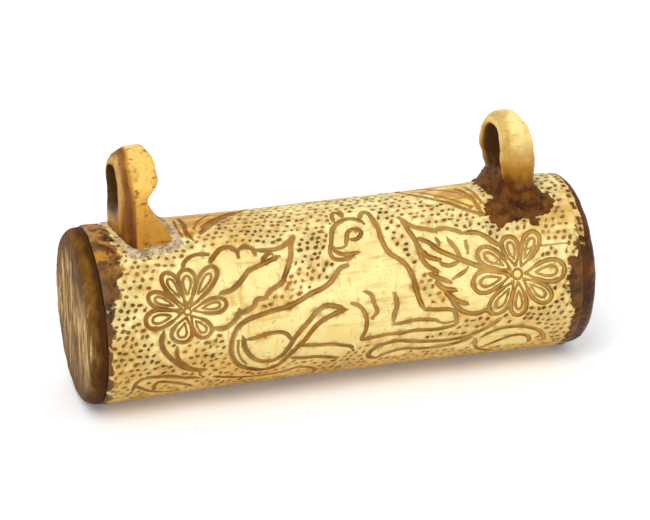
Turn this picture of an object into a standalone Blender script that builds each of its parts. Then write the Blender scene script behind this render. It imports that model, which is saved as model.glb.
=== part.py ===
"""Bone needle case: a bored tube with two cord loops, a glued end disc and a friction stopper.

The case lies along X with its stopper at +X. The engraved side faces -Y and the loops stand up in +Z.
The origin is under the middle of the case, on the surface that the case rests on.
"""
import math
from collections import namedtuple

import bmesh
import bpy
from mathutils import Matrix, Vector

# Driving dimensions, in metres
CASE_LENGTH = 0.0815
END_RADIUS = 0.0140
WAIST_RADIUS = 0.0135
BORE_RADIUS = 0.0085
REST_FLAT_WIDTH = 0.0048
GAP = 0.0003

END_HEAD_RADIUS = 0.0137
END_HEAD_THICKNESS = 0.0026
LEFT_HEAD_ROUNDING = 0.0018
RIGHT_HEAD_ROUNDING = 0.0020
DISC_SPIGOT_LENGTH = 0.0035
STOPPER_SPIGOT_LENGTH = 0.0075
SPIGOT_CHAMFER = 0.0006

LEFT_LOOP_X = -0.0311
LEFT_LOOP_TURN = math.radians(7)
RIGHT_LOOP_X = 0.0300
RIGHT_LOOP_TURN = math.radians(5)
LOOP_FOOT_BOTTOM = 0.0102
EYE_SQUARENESS = 2.8
LOOP_STATIONS = 12
LOOP_SECTION_STEPS = 12

FILLER_WIDTH = 0.0010
RESIN_OVERLAP_X = 0.0030
RESIN_OVERLAP_Y = 0.0032
RESIN_EDGE_THICKNESS = 0.0006
RESIN_COLLAR_THICKNESS = 0.0018

WAD_LENGTH = 0.0065
WAD_RADIUS = 0.0081
WAD_CROWN = 0.0012

NEEDLE_LENGTHS = (0.046, 0.040, 0.050, 0.052, 0.044, 0.048, 0.037)
NEEDLE_DIAMETERS = (0.00080, 0.00072, 0.00090, 0.00096, 0.00078, 0.00086, 0.00070)
NEEDLE_PITCH = math.radians(10.5)
NEEDLE_POINT_LENGTH = 0.007
NEEDLE_HEAD_LENGTH = 0.0045
NEEDLE_EYE_LENGTH = 0.0018

# Fineness of the round surfaces
TUBE_SIDES = 64
TUBE_STATIONS = 13
NEEDLE_SIDES = 10
ARC_STEPS = 6

# Sizes that follow from the driving dimensions
AXIS_HEIGHT = math.sqrt(END_RADIUS ** 2 - (REST_FLAT_WIDTH / 2) ** 2)
TUBE_HALF_LENGTH = CASE_LENGTH / 2 - END_HEAD_THICKNESS - GAP
WAD_LEFT = -TUBE_HALF_LENGTH + DISC_SPIGOT_LENGTH + GAP
NEEDLE_LEFT = WAD_LEFT + WAD_LENGTH + GAP

# A loop by height above the case's axis: half-width across the case, then reach to each side along it.
# crown is the share of its back reach that a leg loses towards its outer face. back_shoulder is the arch's
# squareness at the back (2 is an ellipse), and eye_shift how far the eye's middle lies towards the back.
LoopShape = namedtuple("LoopShape", "outline arch_top back_shoulder eye_height eye_shift eye_half_height "
                                    "eye_half_width reach_back reach_front crown squareness")
LEFT_LOOP = LoopShape(
    outline=((0.0102, 0.0058), (0.0140, 0.0058), (0.0200, 0.0057)),
    arch_top=0.0273,
    back_shoulder=1.5,
    eye_height=0.0207,
    eye_shift=0.0013,
    eye_half_height=0.0029,
    eye_half_width=0.0025,
    reach_back=((0.0102, 0.0025), (0.0140, 0.0029), (0.0180, 0.0028), (0.0230, 0.0028), (0.0252, 0.0023),
                (0.0273, 0.0011)),
    reach_front=((0.0102, 0.0051), (0.0126, 0.0050), (0.0149, 0.0042), (0.0181, 0.0016), (0.0202, 0.0011),
                 (0.0230, 0.0030), (0.0252, 0.0031), (0.0273, 0.0023)),
    crown=0.45,
    squareness=5.0)
RIGHT_LOOP = LoopShape(
    outline=((0.0102, 0.0052), (0.0150, 0.0053), (0.0195, 0.0055)),
    arch_top=0.0264,
    back_shoulder=2.2,
    eye_height=0.0205,
    eye_shift=0.0003,
    eye_half_height=0.0033,
    eye_half_width=0.0028,
    reach_back=((0.0102, 0.0019), (0.0155, 0.0021), (0.0178, 0.0027), (0.0200, 0.0034), (0.0225, 0.0032),
                (0.0245, 0.0028), (0.0264, 0.0023)),
    reach_front=((0.0102, 0.0026), (0.0170, 0.0025), (0.0215, 0.0025), (0.0240, 0.0020), (0.0264, 0.0010)),
    crown=0.20,
    squareness=2.8)


def clear_scene():
    """Remove whatever objects the file holds."""
    for old in list(bpy.data.objects):
        bpy.data.objects.remove(old, do_unlink=True)


def material(name, colour, roughness, metallic=0.0):
    """A plain Principled material."""
    made = bpy.data.materials.new(name)
    made.use_nodes = True
    shader = made.node_tree.nodes["Principled BSDF"]
    shader.inputs["Base Color"].default_value = (*colour, 1.0)
    shader.inputs["Roughness"].default_value = roughness
    shader.inputs["Metallic"].default_value = metallic
    return made


def empty(name, location, parent=None):
    """A reference frame that pieces hang from."""
    frame = bpy.data.objects.new(name, None)
    frame.location = location
    frame.parent = parent
    bpy.context.collection.objects.link(frame)
    return frame


def piece(name, mesh_builder, surface, parent, location=(0, 0, 0), turn=0.0):
    """Finish a bmesh as a named, smooth-shaded object."""
    bmesh.ops.recalc_face_normals(mesh_builder, faces=mesh_builder.faces[:])
    mesh = bpy.data.meshes.new(name)
    mesh_builder.to_mesh(mesh)
    mesh_builder.free()
    mesh.shade_smooth()
    mesh.set_sharp_from_angle(angle=math.radians(40))
    mesh.materials.append(surface)
    made = bpy.data.objects.new(name, mesh)
    made.location = location
    made.rotation_euler = (0, 0, turn)
    made.parent = parent
    bpy.context.collection.objects.link(made)
    return made


def skin(rings, closed):
    """Bridge rings of equal count; a closed skin joins its last ring to its first, others are capped."""
    builder = bmesh.new()
    rows = [[builder.verts.new(point) for point in ring] for ring in rings]
    pairs = list(zip(rows, rows[1:]))
    if closed:
        pairs.append((rows[-1], rows[0]))
    for low, high in pairs:
        for i in range(len(low)):
            j = (i + 1) % len(low)
            builder.faces.new((low[i], low[j], high[j], high[i]))
    if not closed:
        builder.faces.new(rows[0])
        builder.faces.new(rows[-1])
    return builder


def circle(x, radius, sides=TUBE_SIDES):
    """A ring of points around the case's axis."""
    angles = [math.tau * i / sides for i in range(sides)]
    return [(x, radius * math.sin(a), radius * math.cos(a)) for a in angles]


def interpolate(table, height):
    """Read a smooth value from (height, value) rows."""
    for (low, a), (high, b) in zip(table, table[1:]):
        if height <= high:
            t = max(0.0, (height - low) / (high - low))
            return a + (b - a) * t * t * (3 - 2 * t)
    return table[-1][1]


def tube_radius(x):
    """Outer radius of the waisted tube."""
    along = min(1.0, abs(x) / TUBE_HALF_LENGTH)
    return WAIST_RADIUS + (END_RADIUS - WAIST_RADIUS) * along ** 2


def tube_surface(x, y, lift=0.0):
    """The point above (x, y) on the tube's top, raised along the radius by lift."""
    radius = tube_radius(x)
    angle = math.asin(y / radius)
    return Vector((x, (radius + lift) * math.sin(angle), (radius + lift) * math.cos(angle)))


def cut(target, cutter):
    """Cut one closed object out of another."""
    cutter.hide_render = True
    cutter.display_type = "WIRE"
    modifier = target.modifiers.new("cut " + cutter.name, "BOOLEAN")
    modifier.operation = "DIFFERENCE"
    modifier.solver = "EXACT"
    modifier.object = cutter


def box(low, high):
    """A closed box between two corners."""
    builder = bmesh.new()
    bmesh.ops.create_cube(builder, size=1.0)
    size = Vector(high) - Vector(low)
    middle = (Vector(high) + Vector(low)) / 2
    bmesh.ops.transform(builder, matrix=Matrix.Diagonal((*size, 1.0)), verts=builder.verts[:])
    bmesh.ops.translate(builder, vec=middle, verts=builder.verts[:])
    return builder


def bone_tube(surface, parent):
    """The bored tube, worn flat underneath where its wide ends touch the ground."""
    edge = 0.0004
    rings = [circle(-TUBE_HALF_LENGTH, tube_radius(TUBE_HALF_LENGTH) - edge)]
    for i in range(TUBE_STATIONS):
        x = (TUBE_HALF_LENGTH - edge) * (2 * i / (TUBE_STATIONS - 1) - 1)
        ring = circle(x, tube_radius(x))
        rings.append([(px, py, max(pz, -AXIS_HEIGHT)) for px, py, pz in ring])
    rings.append(circle(TUBE_HALF_LENGTH, tube_radius(TUBE_HALF_LENGTH) - edge))
    rings.append(circle(TUBE_HALF_LENGTH, BORE_RADIUS))
    rings.append(circle(-TUBE_HALF_LENGTH, BORE_RADIUS))
    return piece("bone_tube", skin(rings, closed=True), surface, parent)


def end_plug(name, surface, parent, location, direction, rounding, spigot_length):
    """A turned plug: a head as wide as the case and a spigot that enters the bore."""
    spigot_radius = BORE_RADIUS - GAP
    profile = [(-spigot_length, spigot_radius - SPIGOT_CHAMFER),
               (-spigot_length + SPIGOT_CHAMFER, spigot_radius),
               (GAP, spigot_radius),
               (GAP, END_HEAD_RADIUS)]
    centre = GAP + END_HEAD_THICKNESS - rounding
    for i in range(ARC_STEPS + 1):
        angle = math.pi / 2 * i / ARC_STEPS
        profile.append((centre + rounding * math.sin(angle),
                        END_HEAD_RADIUS - rounding + rounding * math.cos(angle)))
    rings = [circle(direction * x, radius) for x, radius in profile]
    return piece(name, skin(rings, closed=False), surface, parent, location)


def signed_power(value, power):
    """Raise a value's size to a power and keep its sign."""
    return math.copysign(abs(value) ** power, value)


def loop_outline(shape):
    """The loop's outer edge across the case: feet, legs and round arch, as one closed run of points."""
    bottom, foot = shape.outline[0]
    spring, spring_width = shape.outline[-1]
    heights = [bottom + (spring - bottom) * i / LOOP_STATIONS for i in range(LOOP_STATIONS + 1)]
    leg = [(interpolate(shape.outline, z), z) for z in heights]
    arch = []
    for i in range(1, 2 * LOOP_STATIONS):
        angle = math.pi * i / (2 * LOOP_STATIONS)
        power = 2 / shape.back_shoulder if angle < math.pi / 2 else 1.0
        y = spring_width * signed_power(math.cos(angle), power)
        arch.append((y, spring + (shape.arch_top - spring) * math.sin(angle) ** power))
    under = [(foot * (i / 4 - 1), bottom) for i in range(1, 8)]
    return leg + arch + [(-y, z) for y, z in reversed(leg)] + under


def eye_edge(shape, y, z):
    """The point of the eye's edge in the direction of (y, z)."""
    angle = math.atan2(z - shape.eye_height, y - shape.eye_shift)
    c, s = math.cos(angle), math.sin(angle)
    size = (abs(c / shape.eye_half_width) ** EYE_SQUARENESS
            + abs(s / shape.eye_half_height) ** EYE_SQUARENESS) ** (-1 / EYE_SQUARENESS)
    return Vector((0, shape.eye_shift + size * c, shape.eye_height + size * s))


def cord_loop(name, surface, parent, x, turn, shape):
    """A bone eye: a strap around an opening that faces along the case."""
    power = 2 / shape.squareness
    half_width = shape.outline[-1][1]
    rings = []
    for y, z in loop_outline(shape):
        inner = eye_edge(shape, y, z)
        outer = Vector((0, y, z))
        ring = []
        for i in range(LOOP_SECTION_STEPS):
            a = math.tau * (i + 0.5) / LOOP_SECTION_STEPS
            along = signed_power(math.sin(a), power)
            point = inner.lerp(outer, 0.5 + 0.5 * signed_power(math.cos(a), power))
            if along > 0:
                reach = interpolate(shape.reach_front, point.z)
            else:
                loss = shape.crown * min(1.0, abs(point.y) / half_width) ** 3
                reach = interpolate(shape.reach_back, point.z) * (1 - loss)
            ring.append((along * reach, point.y, point.z))
        rings.append(ring)
    return piece(name, skin(rings, closed=True), surface, parent, (x, 0, 0), turn)


def rectangle(low_x, high_x, half_y, corner):
    """A round-cornered rectangle, with points along its long sides so that it can follow the tube."""
    points = []
    corners = ((high_x - corner, half_y - corner, 0), (low_x + corner, half_y - corner, 1),
               (low_x + corner, corner - half_y, 2), (high_x - corner, corner - half_y, 3))
    for x, y, quarter in corners:
        for i in range(4):
            angle = math.pi / 2 * (quarter + i / 3)
            points.append((x + corner * math.cos(angle), y + corner * math.sin(angle)))
        if quarter in (1, 3):
            edge_x = low_x if quarter == 1 else high_x
            start = y
            points += [(edge_x, start * (1 - i / 4)) for i in range(1, 8)]
    return points


def foot_size(shape, clearance):
    """How far a loop's foot reaches back, forward and to each side, with room around it."""
    return (shape.reach_back[0][1] + clearance, shape.reach_front[0][1] + clearance,
            shape.outline[0][1] + clearance)


def on_tube(points, x, turn, lift):
    """Lay flat points around a loop's foot onto the tube's top."""
    c, s = math.cos(turn), math.sin(turn)
    return [tube_surface(x + u * c - v * s, u * s + v * c, lift) for u, v in points]


def left_filler(surface, parent):
    """Filler in the mortise around the left loop's foot, flush with the tube."""
    back, front, half = foot_size(LEFT_LOOP, GAP)
    inner = rectangle(-back, front, half, 0.0004)
    outer = rectangle(-back - FILLER_WIDTH, front + FILLER_WIDTH, half + FILLER_WIDTH, 0.0006)
    inner_top = on_tube(inner, LEFT_LOOP_X, LEFT_LOOP_TURN, 0.0)
    outer_top = on_tube(outer, LEFT_LOOP_X, LEFT_LOOP_TURN, 0.0)
    inner_low = [(point.x, point.y, LOOP_FOOT_BOTTOM) for point in inner_top]
    outer_low = [(point.x, point.y, LOOP_FOOT_BOTTOM) for point in outer_top]
    return piece("left_loop_filler", skin([inner_low, outer_low, outer_top, inner_top], closed=True),
                 surface, parent)


def right_resin(surface, parent):
    """Resin squeezed out over the tube around the right loop's foot."""
    back, front, half = foot_size(RIGHT_LOOP, GAP)
    inner = rectangle(-back, front, half, 0.0008)
    outer = rectangle(-back - RESIN_OVERLAP_X, front + RESIN_OVERLAP_X * 0.8, half + RESIN_OVERLAP_Y, 0.0022)
    edge = GAP + RESIN_EDGE_THICKNESS
    collar = GAP + RESIN_COLLAR_THICKNESS
    lifts = ((inner, GAP), (outer, GAP), (outer, edge), (inner, collar))
    rings = [on_tube(points, RIGHT_LOOP_X, RIGHT_LOOP_TURN, lift) for points, lift in lifts]
    return piece("right_loop_resin", skin(rings, closed=True), surface, parent)


def mortise(name, tube, guide, parent, x, turn, size):
    """A rectangular pocket in the tube's top for a loop's foot."""
    back, front, half_y = size
    builder = box((-back, -half_y, LOOP_FOOT_BOTTOM - GAP), (front, half_y, END_RADIUS + 0.002))
    cut(tube, piece(name, builder, guide, parent, (x, 0, 0), turn))


def wool_wad(surface, parent):
    """The wool plug at the closed end, with a crowned face towards the points."""
    profile = [(0.0, WAD_RADIUS - 0.0008), (0.0008, WAD_RADIUS)]
    for i in range(ARC_STEPS + 1):
        angle = math.pi / 2 * i / ARC_STEPS
        radius = WAD_RADIUS * (0.55 + 0.45 * math.cos(angle))
        profile.append((WAD_LENGTH - WAD_CROWN + WAD_CROWN * math.sin(angle), radius))
    rings = [circle(x, radius, 40) for x, radius in profile]
    return piece("needle_wad", skin(rings, closed=False), surface, parent, (WAD_LEFT, 0, 0))


def needle_ring(x, half_width, half_height):
    """An oval ring of points across a needle."""
    angles = [math.tau * i / NEEDLE_SIDES for i in range(NEEDLE_SIDES)]
    return [(x, half_width * math.cos(a), half_height * math.sin(a)) for a in angles]


def sewing_needle(number, surface, guide, parent):
    """One needle lying in the bore, its point at the wool and its flattened eye towards the stopper."""
    length = NEEDLE_LENGTHS[number]
    radius = NEEDLE_DIAMETERS[number] / 2
    rings = [needle_ring(0.0, radius * 0.12, radius * 0.12)]
    for share in (0.25, 0.5, 0.75, 1.0):
        size = radius * share ** 0.6
        rings.append(needle_ring(NEEDLE_POINT_LENGTH * share, size, size))
    head = length - NEEDLE_HEAD_LENGTH
    rings.append(needle_ring(head, radius, radius))
    rings.append(needle_ring(head + NEEDLE_HEAD_LENGTH * 0.3, radius * 1.2, radius * 0.85))
    rings.append(needle_ring(length - 0.0006, radius * 1.2, radius * 0.8))
    rings.append(needle_ring(length, radius * 0.6, radius * 0.5))
    angle = NEEDLE_PITCH * (number - (len(NEEDLE_LENGTHS) - 1) / 2)
    reach = BORE_RADIUS - GAP - radius * 1.2
    place = (NEEDLE_LEFT, reach * math.sin(angle), -reach * math.cos(angle))
    name = f"needle_{number + 1}"
    made = piece(name, skin(rings, closed=False), surface, parent, place)
    eye_end = length - 0.0010
    eye_half = radius * 0.5
    slot = piece(name + "_eye", box((eye_end - NEEDLE_EYE_LENGTH, -eye_half, -radius * 2),
                                    (eye_end, eye_half, radius * 2)), guide, parent, place)
    for turned in (made, slot):
        turned.rotation_euler = (angle, 0, 0)
    cut(made, slot)
    return made


def build():
    """Make every piece of the case."""
    clear_scene()
    bone = material("engraved bone", (0.86, 0.72, 0.42), 0.42)
    end_bone = material("end bone", (0.38, 0.26, 0.13), 0.50)
    dark_bone = material("stained stopper", (0.12, 0.05, 0.02), 0.45)
    honey = material("honey loop", (0.76, 0.50, 0.20), 0.40)
    cream = material("cream loop", (0.85, 0.66, 0.34), 0.35)
    grey = material("grey filler", (0.36, 0.32, 0.28), 0.85)
    resin = material("resin", (0.08, 0.04, 0.02), 0.70)
    wool = material("wool", (0.72, 0.66, 0.54), 0.95)
    steel = material("needle steel", (0.62, 0.62, 0.60), 0.25, 1.0)
    guide = material("guide", (0.5, 0.5, 0.5), 0.9)

    case = empty("case_axis", (0, 0, AXIS_HEIGHT))
    stopper_joint = empty("stopper_pull", (TUBE_HALF_LENGTH, 0, 0), case)
    needle_joint = empty("needles_slide", (0, 0, 0), case)

    tube = bone_tube(bone, case)
    mortise("left_mortise", tube, guide, case, LEFT_LOOP_X, LEFT_LOOP_TURN,
            foot_size(LEFT_LOOP, GAP + FILLER_WIDTH + GAP))
    mortise("right_mortise", tube, guide, case, RIGHT_LOOP_X, RIGHT_LOOP_TURN, foot_size(RIGHT_LOOP, GAP))

    end_plug("left_end_disc", end_bone, case, (-TUBE_HALF_LENGTH, 0, 0), -1,
             LEFT_HEAD_ROUNDING, DISC_SPIGOT_LENGTH)
    end_plug("right_stopper", dark_bone, stopper_joint, (0, 0, 0), 1,
             RIGHT_HEAD_ROUNDING, STOPPER_SPIGOT_LENGTH)
    cord_loop("left_loop", honey, case, LEFT_LOOP_X, LEFT_LOOP_TURN, LEFT_LOOP)
    cord_loop("right_loop", cream, case, RIGHT_LOOP_X, RIGHT_LOOP_TURN, RIGHT_LOOP)
    left_filler(grey, case)
    right_resin(resin, case)
    wool_wad(wool, case)
    for number in range(len(NEEDLE_LENGTHS)):
        sewing_needle(number, steel, guide, needle_joint)


build()
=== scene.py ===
"""Looks of the bone needle case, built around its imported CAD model.

The case lies along X, its engraved side faces -Y, and its loops stand up in +Z. The engraving is laid
out in millimetres on the tube's unrolled surface: x runs along the case, and s runs around it from the
front line (s = 0) up over the top.
"""
import math
import random
from collections import namedtuple

import bmesh
import bpy
import numpy as np
from mathutils import Matrix, Vector, kdtree, noise
from mathutils.geometry import delaunay_2d_cdt


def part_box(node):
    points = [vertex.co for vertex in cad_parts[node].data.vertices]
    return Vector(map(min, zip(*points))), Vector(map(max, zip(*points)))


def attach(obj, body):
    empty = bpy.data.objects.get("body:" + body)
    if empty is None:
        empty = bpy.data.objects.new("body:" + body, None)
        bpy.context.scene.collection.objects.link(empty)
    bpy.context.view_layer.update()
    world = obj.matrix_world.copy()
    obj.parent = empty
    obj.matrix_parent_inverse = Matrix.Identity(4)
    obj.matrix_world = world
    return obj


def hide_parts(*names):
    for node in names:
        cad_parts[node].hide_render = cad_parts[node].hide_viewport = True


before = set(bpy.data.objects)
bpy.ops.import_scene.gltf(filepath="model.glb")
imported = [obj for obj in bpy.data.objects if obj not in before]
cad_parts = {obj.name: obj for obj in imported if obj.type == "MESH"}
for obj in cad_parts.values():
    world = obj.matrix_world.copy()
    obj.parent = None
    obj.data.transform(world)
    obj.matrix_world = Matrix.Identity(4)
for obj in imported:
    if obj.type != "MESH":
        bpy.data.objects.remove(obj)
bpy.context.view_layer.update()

MM = 0.001

# The case's own sizes, read from the frame, in millimetres
TUBE_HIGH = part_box("bone_tube")[1] / MM
DISC_LOW, DISC_HIGH = (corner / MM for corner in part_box("left_end_disc"))
STOPPER_LOW, STOPPER_HIGH = (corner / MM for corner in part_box("right_stopper"))
END_RADIUS = TUBE_HIGH.y
AXIS_Z = TUBE_HIGH.z - END_RADIUS
WAIST_RADIUS = END_RADIUS - 0.5
NOMINAL_RADIUS = 13.7
GIRTH = math.tau * NOMINAL_RADIUS
BORE_RADIUS = 8.5
HALF_LENGTH = TUBE_HIGH.x
# Where the carved tube ends, and where the heads of the end plugs begin
CARVED_REACH = HALF_LENGTH + 0.25
JOINT_REACH = HALF_LENGTH + 0.3
TOP_LINE = GIRTH / 4
BACK_LINE = GIRTH / 2

random.seed(11)


# ---------------------------------------------------------------- engraving, in millimetres (x, s)

DEEP, MEDIUM, FINE, HAIR = "deep", "medium", "fine", "hair"
# Half-width and depth of the groove that each gouge leaves
GOUGES = {DEEP: (0.48, 0.34), MEDIUM: (0.40, 0.28), FINE: (0.26, 0.16), HAIR: (0.15, 0.08)}

CAT = (
    (DEEP, ((-1.1, 14.3), (-0.6, 15.6), (0.3, 16.6), (1.4, 17.3), (2.6, 17.5), (3.7, 17.1), (4.4, 16.3))),
    (MEDIUM, ((0.0, 17.2), (0.1, 18.7), (0.7, 19.5), (1.3, 19.0), (1.5, 18.1))),
    (MEDIUM, ((1.7, 19.8), (1.7, 18.3))),
    (DEEP, ((4.3, 17.4), (4.7, 18.3), (5.4, 18.6), (5.9, 18.0), (6.2, 16.5), (6.5, 14.6), (6.5, 12.6),
            (6.9, 10.8), (7.6, 9.7), (8.8, 8.7), (9.7, 7.5), (10.3, 6.0), (10.7, 4.0), (11.1, 2.2),
            (11.7, 0.7))),
    (MEDIUM, ((0.7, 12.2), (1.1, 13.4), (1.5, 14.5), (2.3, 15.1), (3.2, 15.0), (3.7, 14.4), (3.3, 13.6),
              (2.5, 13.1), (1.7, 13.2))),
    (MEDIUM, ((-1.1, 14.3), (-1.5, 12.9), (-2.0, 11.4), (-1.7, 10.3), (-0.4, 9.9), (1.4, 10.2))),
    (MEDIUM, ((-1.3, 12.2), (-0.9, 11.2), (0.5, 10.7), (2.3, 10.8))),
    (FINE, ((-1.0, 11.9), (0.1, 11.9), (0.8, 12.3))),
    (DEEP, ((0.3, 8.9), (-0.9, 8.6), (-1.8, 7.7), (-2.8, 6.6), (-4.2, 5.8), (-6.0, 5.2), (-8.0, 4.3),
            (-9.8, 3.6), (-12.1, 3.3), (-14.4, 2.8), (-16.4, 2.3), (-18.0, 1.2), (-18.8, -0.6),
            (-19.0, -2.6), (-18.5, -4.4), (-17.4, -6.0), (-15.7, -7.2), (-13.9, -7.9), (-12.1, -7.8),
            (-10.8, -6.9), (-9.6, -5.2), (-8.3, -3.6), (-7.2, -2.3), (-6.3, -1.0), (-5.3, 0.1),
            (-4.1, 0.9), (-2.5, 1.5), (-0.7, 2.0))),
    (DEEP, ((-17.1, -0.6), (-16.9, -2.1), (-16.2, -3.6), (-15.2, -4.9), (-13.8, -5.8), (-12.2, -6.0),
            (-10.9, -5.2), (-9.8, -3.5), (-8.9, -1.8), (-7.8, -0.4), (-6.6, 0.9), (-5.6, 2.0),
            (-4.5, 2.8), (-3.6, 3.0), (-2.3, 2.7), (-1.1, 2.2))),
    (FINE, ((-17.9, -1.2), (-17.9, -2.8), (-17.3, -4.5), (-16.4, -5.8))),
    (MEDIUM, ((-16.4, -0.9), (-14.8, -0.8), (-13.0, -0.4), (-11.3, -0.4), (-10.2, -0.9), (-9.6, -1.8))),
    (MEDIUM, ((-8.0, -3.4), (-5.3, -3.7), (-3.0, -3.9), (-1.2, -4.4), (0.2, -4.9), (0.7, -5.7))),
    (DEEP, ((-9.0, -5.9), (-7.1, -6.3), (-5.3, -6.4), (-3.7, -6.8), (-2.1, -7.3))),
    (MEDIUM, ((2.7, 4.4), (3.5, 3.8), (3.8, 2.5), (4.3, 1.1), (3.7, 0.3))),
    (MEDIUM, ((0.2, 2.9), (1.3, 2.4), (2.2, 1.2), (2.6, -0.4), (2.4, -2.2), (1.9, -3.7), (3.8, -3.6),
              (6.1, -3.4), (8.4, -3.5), (10.6, -3.3), (13.8, -3.6), (16.1, -3.4), (17.3, -2.9),
              (17.2, -1.7), (16.8, -0.6), (15.8, -0.1), (13.8, 0.1), (11.9, 0.4))),
    (DEEP, ((7.3, 3.1), (7.5, 1.7), (7.1, 0.3), (6.9, -1.0))),
    (MEDIUM, ((7.0, -1.6), (8.8, -1.5), (10.6, -1.3), (12.4, -1.5), (13.9, -1.8))),
    (FINE, ((14.6, -2.3), (15.6, -2.6), (16.7, -2.4))),
)
CAT_BODY = ((-2.0, 11.0), (-1.1, 14.3), (0.0, 17.0), (0.3, 19.3), (1.8, 19.6), (2.6, 17.5), (4.4, 17.2),
            (5.4, 18.6), (6.2, 16.5), (6.5, 12.6), (7.6, 9.7), (9.7, 7.5), (10.7, 4.0), (11.7, 0.6),
            (16.8, -0.2), (17.4, -2.9), (16.0, -3.6), (2.0, -3.8), (0.8, -5.8), (-2.1, -7.4),
            (-9.0, -6.3), (-12.1, -7.8), (-15.7, -7.2), (-18.5, -4.4), (-18.8, -0.6), (-16.4, 2.3),
            (-9.8, 3.6), (-4.2, 5.8), (-1.8, 7.7), (0.3, 8.9))

LEFT_LEAF = (
    (MEDIUM, ((-25.4, 11.5), (-24.6, 12.8), (-23.3, 13.5), (-22.0, 13.6), (-21.0, 13.4))),
    (DEEP, ((-21.0, 12.0), (-19.9, 13.2), (-18.7, 14.2), (-17.4, 14.3), (-16.5, 13.5), (-16.4, 12.9))),
    (DEEP, ((-15.9, 13.8), (-14.9, 14.1), (-13.9, 13.5), (-13.7, 12.5))),
    (DEEP, ((-13.3, 13.2), (-11.5, 13.0), (-9.6, 13.2), (-8.1, 14.1), (-7.1, 15.0), (-7.8, 13.5),
            (-8.2, 11.8), (-8.9, 10.1), (-9.7, 8.6), (-10.3, 7.5))),
    (DEEP, ((-10.0, 7.6), (-11.2, 7.0), (-12.5, 6.3), (-13.2, 5.4))),
    (DEEP, ((-13.0, 5.3), (-14.6, 5.3), (-15.3, 4.3), (-16.9, 3.6), (-17.8, 3.5))),
    (DEEP, ((-17.5, 3.9), (-18.4, 2.4), (-20.0, 1.5), (-21.5, 1.6))),
    (DEEP, ((-20.2, 6.9), (-18.5, 7.2), (-17.1, 8.1), (-16.0, 9.2), (-15.1, 10.0), (-13.0, 10.7),
            (-10.3, 11.7))),
    (MEDIUM, ((-12.9, 11.4), (-11.9, 12.2), (-11.2, 12.3))),
)
LEFT_LEAF_BODY = ((-25.4, 11.5), (-22.0, 13.8), (-17.8, 14.5), (-14.6, 14.2), (-9.6, 13.3), (-7.1, 15.0),
                  (-8.2, 11.8), (-10.3, 7.5), (-13.2, 5.4), (-17.6, 3.6), (-20.0, 1.6), (-21.5, 1.6),
                  (-20.0, 6.0))
LEFT_STEM = (
    (DEEP, ((-29.5, 2.0), (-29.9, 0.6), (-29.6, -0.8), (-28.7, -2.2), (-27.7, -3.4), (-26.6, -4.5),
            (-25.0, -5.5), (-22.8, -5.9))),
    (MEDIUM, ((-27.5, -0.9), (-27.5, -2.2), (-26.8, -3.6), (-25.4, -4.9), (-23.9, -5.9), (-23.6, -6.8))),
    (MEDIUM, ((-34.0, -8.6), (-33.6, -6.8), (-32.4, -6.0), (-30.4, -6.0), (-28.2, -6.4), (-26.0, -7.2),
              (-23.9, -7.7))),
    (MEDIUM, ((-33.6, -7.6), (-32.6, -8.6), (-31.4, -9.8), (-29.0, -11.2), (-26.0, -11.9))),
    (MEDIUM, ((-30.5, -9.8), (-30.7, -8.3), (-30.0, -7.4), (-28.2, -7.9), (-26.2, -9.0), (-24.6, -10.2))),
    (MEDIUM, ((-21.0, -8.1), (-19.0, -8.9), (-16.5, -9.6), (-13.5, -10.0), (-10.0, -9.8), (-8.0, -8.9),
              (-6.0, -9.4), (-4.6, -10.8), (-4.6, -12.6))),
)

RIGHT_LEAF = (
    (DEEP, ((10.5, 16.0), (11.5, 14.7), (12.7, 13.8), (14.0, 13.4), (15.3, 12.8))),
    (DEEP, ((15.4, 13.1), (16.8, 13.2), (18.4, 12.6), (19.5, 11.9))),
    (DEEP, ((19.9, 11.9), (21.5, 11.8), (22.9, 11.0), (24.0, 9.9), (25.0, 9.1))),
    (DEEP, ((10.6, 15.7), (11.1, 13.7), (11.7, 11.8), (12.1, 10.0), (12.2, 8.6), (12.9, 7.3),
            (14.4, 6.2))),
    (DEEP, ((12.4, 9.9), (13.3, 8.7), (15.0, 8.0))),
    (DEEP, ((12.9, 6.1), (14.4, 5.2), (16.1, 4.4))),
    (DEEP, ((14.0, 4.6), (15.2, 3.4), (17.1, 2.9))),
    (DEEP, ((15.3, 3.0), (16.4, 1.8), (17.7, 0.9), (19.0, 0.4))),
    (DEEP, ((16.4, 1.4), (17.5, -0.2), (19.0, -1.2), (20.6, -1.5), (22.2, -1.1), (23.2, -2.1))),
    (DEEP, ((12.4, 11.9), (13.8, 11.0), (15.2, 9.5), (16.8, 8.5), (18.4, 7.6), (20.6, 6.5), (22.9, 5.5),
            (26.0, 4.3))),
    (MEDIUM, ((15.1, 11.6), (15.4, 10.8))),
    (MEDIUM, ((17.0, 11.1), (17.8, 9.6), (18.3, 8.2))),
    (MEDIUM, ((19.7, 10.2), (19.7, 8.9))),
    (MEDIUM, ((15.0, 7.4), (16.4, 6.9), (17.8, 7.3))),
    (MEDIUM, ((17.2, 5.0), (18.1, 5.4), (19.0, 5.9))),
)
RIGHT_LEAF_BODY = ((10.5, 16.0), (12.7, 13.9), (16.8, 13.3), (21.5, 11.9), (25.2, 9.0), (26.5, 4.3),
                   (22.4, 1.2), (23.0, -2.0), (19.0, -1.3), (16.4, 1.2), (14.0, 4.4), (12.6, 6.4),
                   (12.0, 8.6), (11.7, 11.8))
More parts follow.
